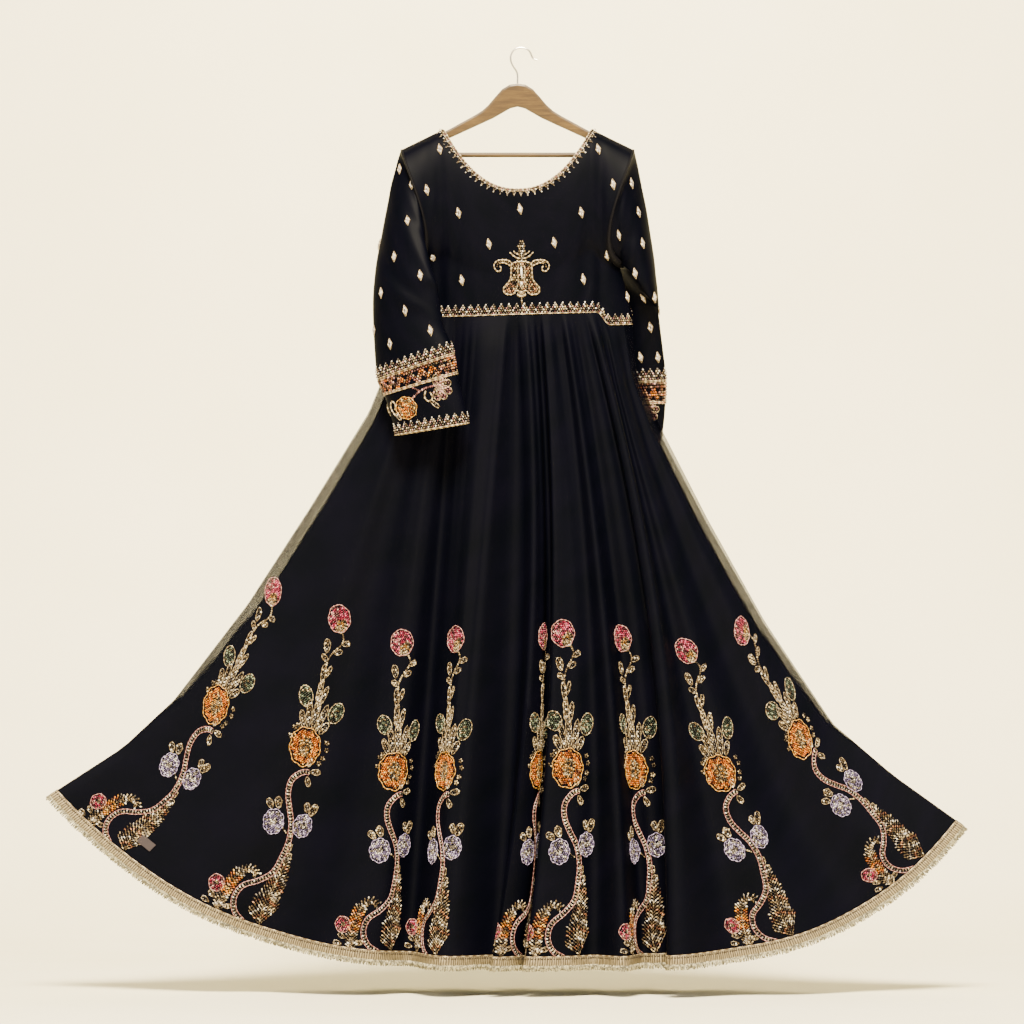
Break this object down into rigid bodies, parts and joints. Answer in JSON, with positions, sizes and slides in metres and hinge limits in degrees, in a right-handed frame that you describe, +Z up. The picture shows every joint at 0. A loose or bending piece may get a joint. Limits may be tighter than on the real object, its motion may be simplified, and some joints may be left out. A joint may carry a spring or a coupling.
{
  "type": "anarkali gown on a hanger",
  "caption": "Black floor-length anarkali gown with long sleeves, beaded flower vines, gold trims and a fringed hem, on a wooden hanger with a steel hook.",
  "frame": {"origin": "inside of the hook's top, where a rail carries the hanger", "axes": "+Z up, +X to the viewer's right across the shoulders, the gown's front towards -Y"},
  "size_m": [1.5096, 0.317, 1.5194],
  "materials": {
    "black_satin": "satin",
    "black_net": "sheer",
    "black_lining": "satin",
    "gold_beads": "beaded",
    "copper_beads": "beaded",
    "champagne_braid": "metallic thread",
    "mauve_cloth": "matt",
    "warm_wood": "varnished",
    "steel": "polished"
  },
  "bodies": {
    "root": {"bodice_back": "black_satin", "bodice_front": "black_satin", "chest_motif": "gold_beads", "cuff_band_left": "copper_beads", "cuff_band_right": "copper_beads", "cuff_edge_left": "gold_beads", "cuff_edge_right": "gold_beads", "hanger_bar": "warm_wood", "hanger_body": "warm_wood", "hanger_hook": "steel", "hem_tab": "mauve_cloth", "hem_trim_back": "champagne_braid", "hem_trim_front": "champagne_braid", "lining_back": "black_lining", "lining_front": "black_lining", "neck_trim_back": "gold_beads", "neck_trim_front": "gold_beads", "skirt_back": "black_net", "skirt_front": "black_net", "sleeve_left": "black_satin", "sleeve_right": "black_satin", "waist_band_back": "gold_beads", "waist_band_front": "gold_beads"}
  },
  "joints": []
}
